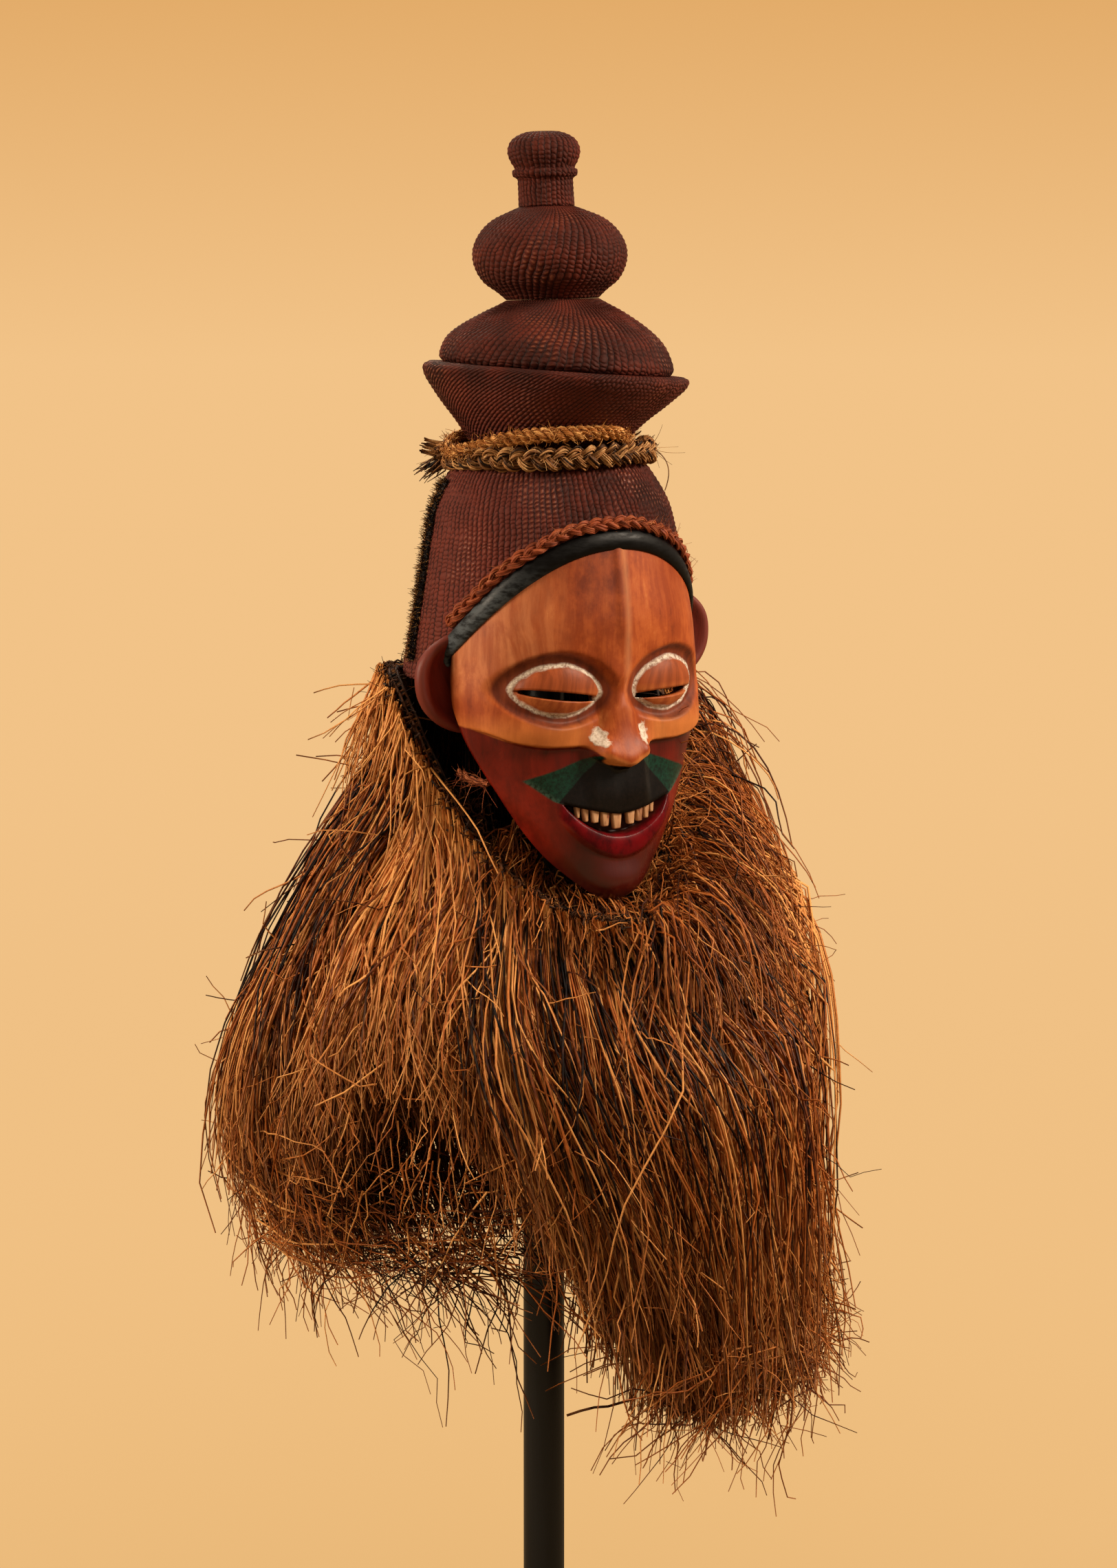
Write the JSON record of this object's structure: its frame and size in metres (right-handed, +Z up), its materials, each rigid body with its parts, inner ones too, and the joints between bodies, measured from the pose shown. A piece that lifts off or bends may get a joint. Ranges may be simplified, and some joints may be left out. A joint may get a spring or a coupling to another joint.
{
  "type": "african mask on stand",
  "caption": "Painted wooden face mask with netted cap, tiered netted finial, plaited ties and long raffia fringe, resting on a round display post with a disc foot.",
  "frame": {"origin": "centre of the stand foot's underside, on the surface it stands on", "axes": "+Z up along the post, the mask's face looks along -Y, +X is to the right of someone who faces the mask"},
  "size_m": [0.4423, 0.4135, 1.2],
  "materials": {
    "stand": "satin black paint",
    "face_wood": "carved, stained and painted, rubbed to a soft gloss",
    "netting": "knotted fibre netting reddened with camwood",
    "plaited_fibre": "plaited dry fibre",
    "brow_fibre": "plaited fibre, reddened",
    "seam_fibre": "coarse dark bristle",
    "raffia": "dry raffia strands"
  },
  "bodies": {
    "root": {"stand_foot": "stand", "stand_post": "stand", "face": "face_wood", "cap": "netting", "finial_bowl": "netting", "finial_disc": "netting", "finial_ball": "netting", "finial_knob": "netting", "brow_plait": "brow_fibre", "tie_plait": "plaited_fibre", "tie_cord": "plaited_fibre", "seam_strip": "seam_fibre", "collar_band": "plaited_fibre", "lashing_left": "plaited_fibre", "lashing_right": "plaited_fibre", "fringe": "raffia"}
  },
  "joints": []
}
